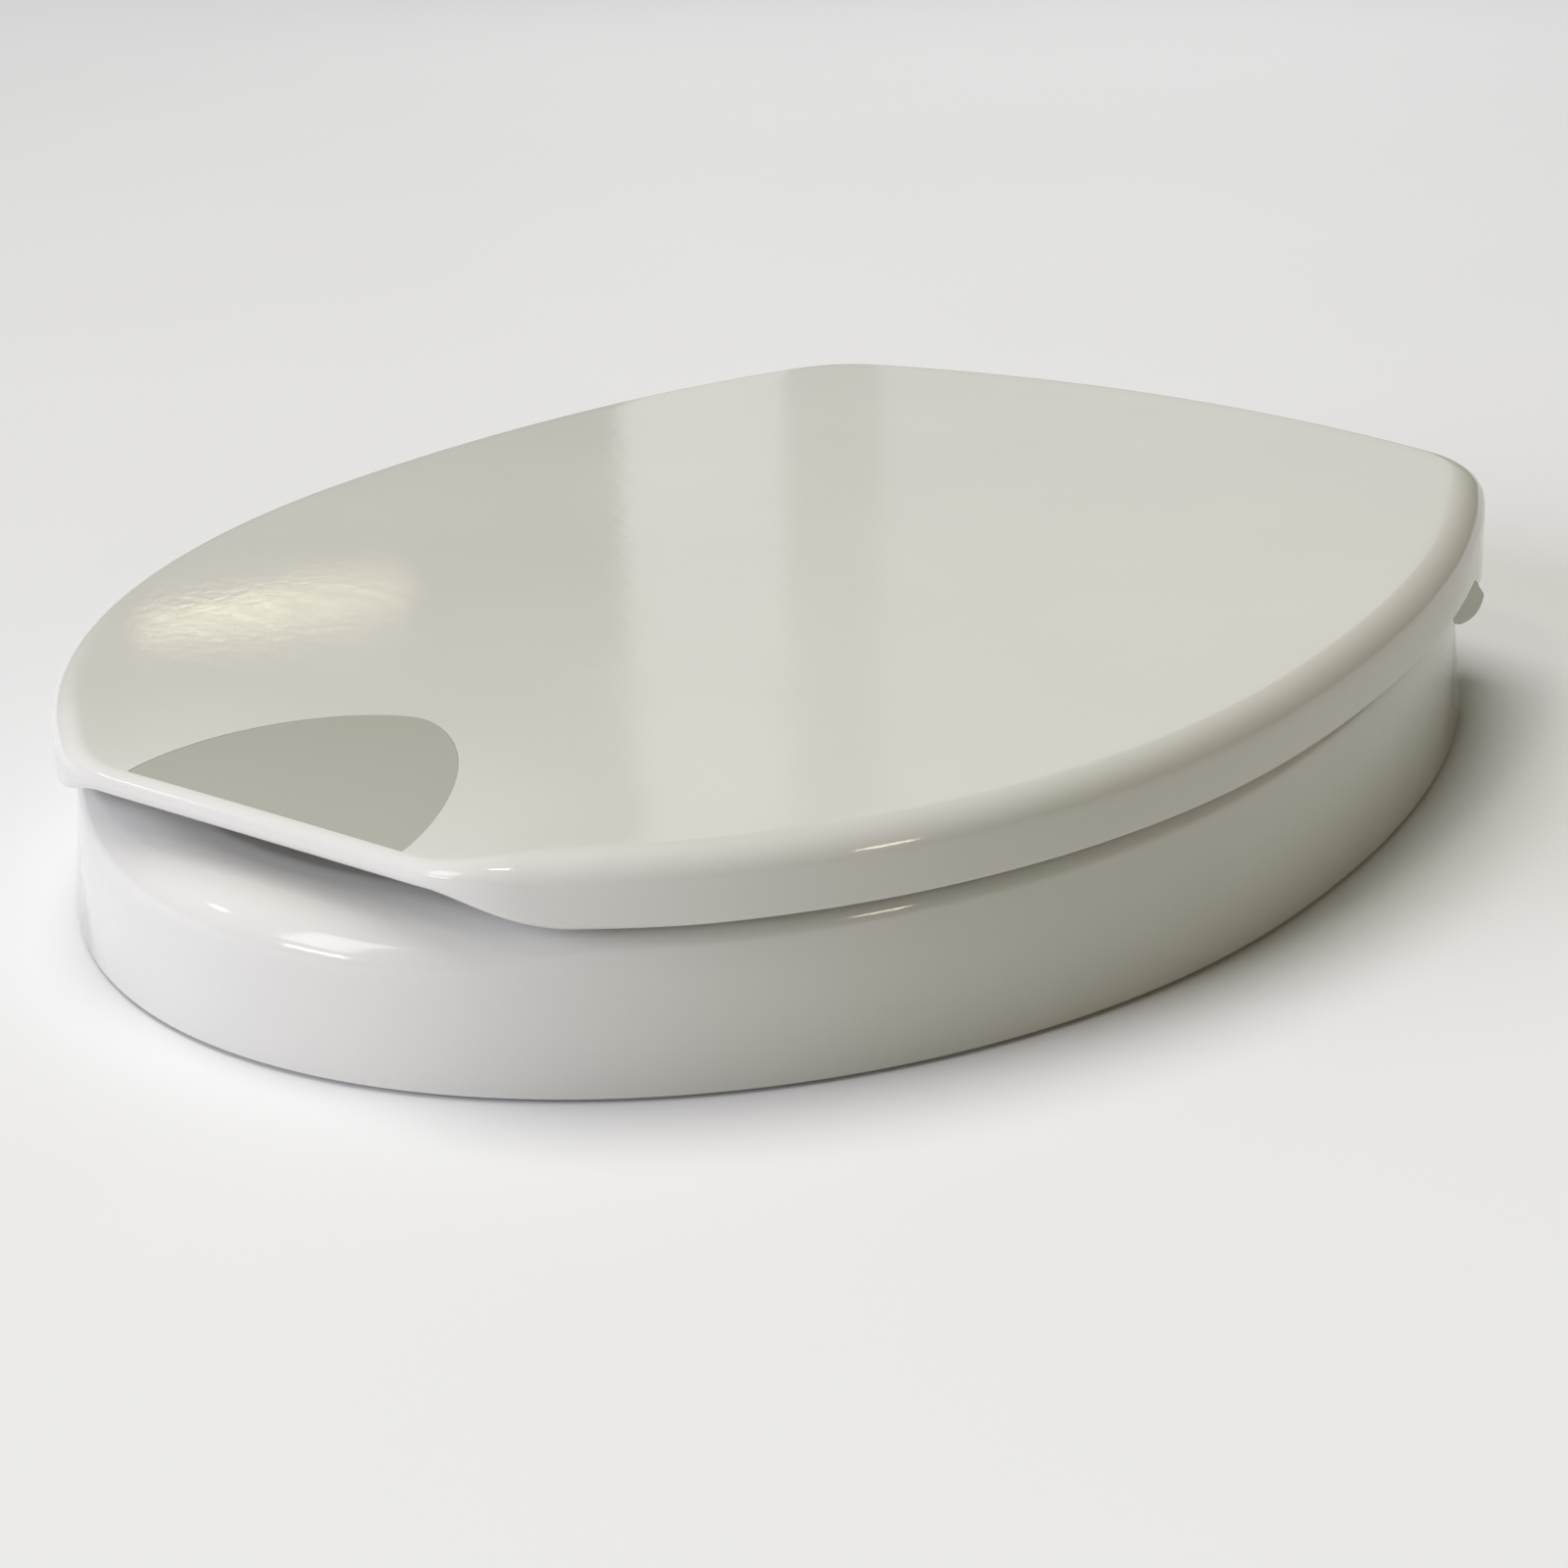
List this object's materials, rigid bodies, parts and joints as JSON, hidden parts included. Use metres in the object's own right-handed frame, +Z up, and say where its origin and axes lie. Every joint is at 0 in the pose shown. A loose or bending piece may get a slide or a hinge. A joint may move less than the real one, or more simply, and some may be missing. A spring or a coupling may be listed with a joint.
{
  "type": "raised toilet seat",
  "caption": "Raised toilet seat: hollow oval riser ring bolted to the pan, with a hinged lid that has a cut-off finger lip and a grey insert at the front.",
  "frame": {"origin": "midway between the two pan bolts, on the plane of the toilet pan's rim", "axes": "+Y towards the cistern along the seat's length, +Z up out of the pan, +X to the right seen from the front"},
  "size_m": [0.3698, 0.4594, 0.1447],
  "materials": {
    "shell": "glossy moulded, warm light grey",
    "underside": "satin moulded",
    "insert": "satin grey-green",
    "steel": "stainless",
    "rubber": "matt dark grey",
    "nylon": "natural nylon"
  },
  "bodies": {
    "riser": {"riser_shell": "shell", "base_plate": "underside", "base_screw_1": "steel", "base_screw_2": "steel", "base_screw_3": "steel", "base_screw_4": "steel", "base_screw_5": "steel", "base_screw_6": "steel", "base_screw_7": "steel", "base_screw_8": "steel", "rim_pad_1": "rubber", "rim_pad_2": "rubber", "rim_pad_3": "rubber", "rim_pad_4": "rubber", "rim_pad_5": "rubber", "rim_pad_6": "rubber", "pan_bolt_left": "steel", "pan_bolt_right": "steel", "bolt_washer_left": "steel", "bolt_washer_right": "steel", "bolt_cap_left": "shell", "bolt_cap_right": "shell", "cone_washer_left": "rubber", "cone_washer_right": "rubber", "wing_nut_left": "nylon", "wing_nut_right": "nylon", "hinge_pin_left": "steel", "hinge_pin_right": "steel"},
    "lid": {"lid_shell": "shell", "grip_inlay": "insert", "hinge_bush_left": "nylon", "hinge_bush_right": "nylon", "lid_buffer_1": "rubber", "lid_buffer_2": "rubber", "lid_buffer_3": "rubber", "lid_buffer_4": "rubber"}
  },
  "joints": [
    {"name": "lid_hinge", "type": "hinge", "parent": "riser", "child": "lid", "pos_m": [0, 0.0285, 0.038], "axis": [-1, 0, 0], "range_deg": [0, 98]}
  ]
}
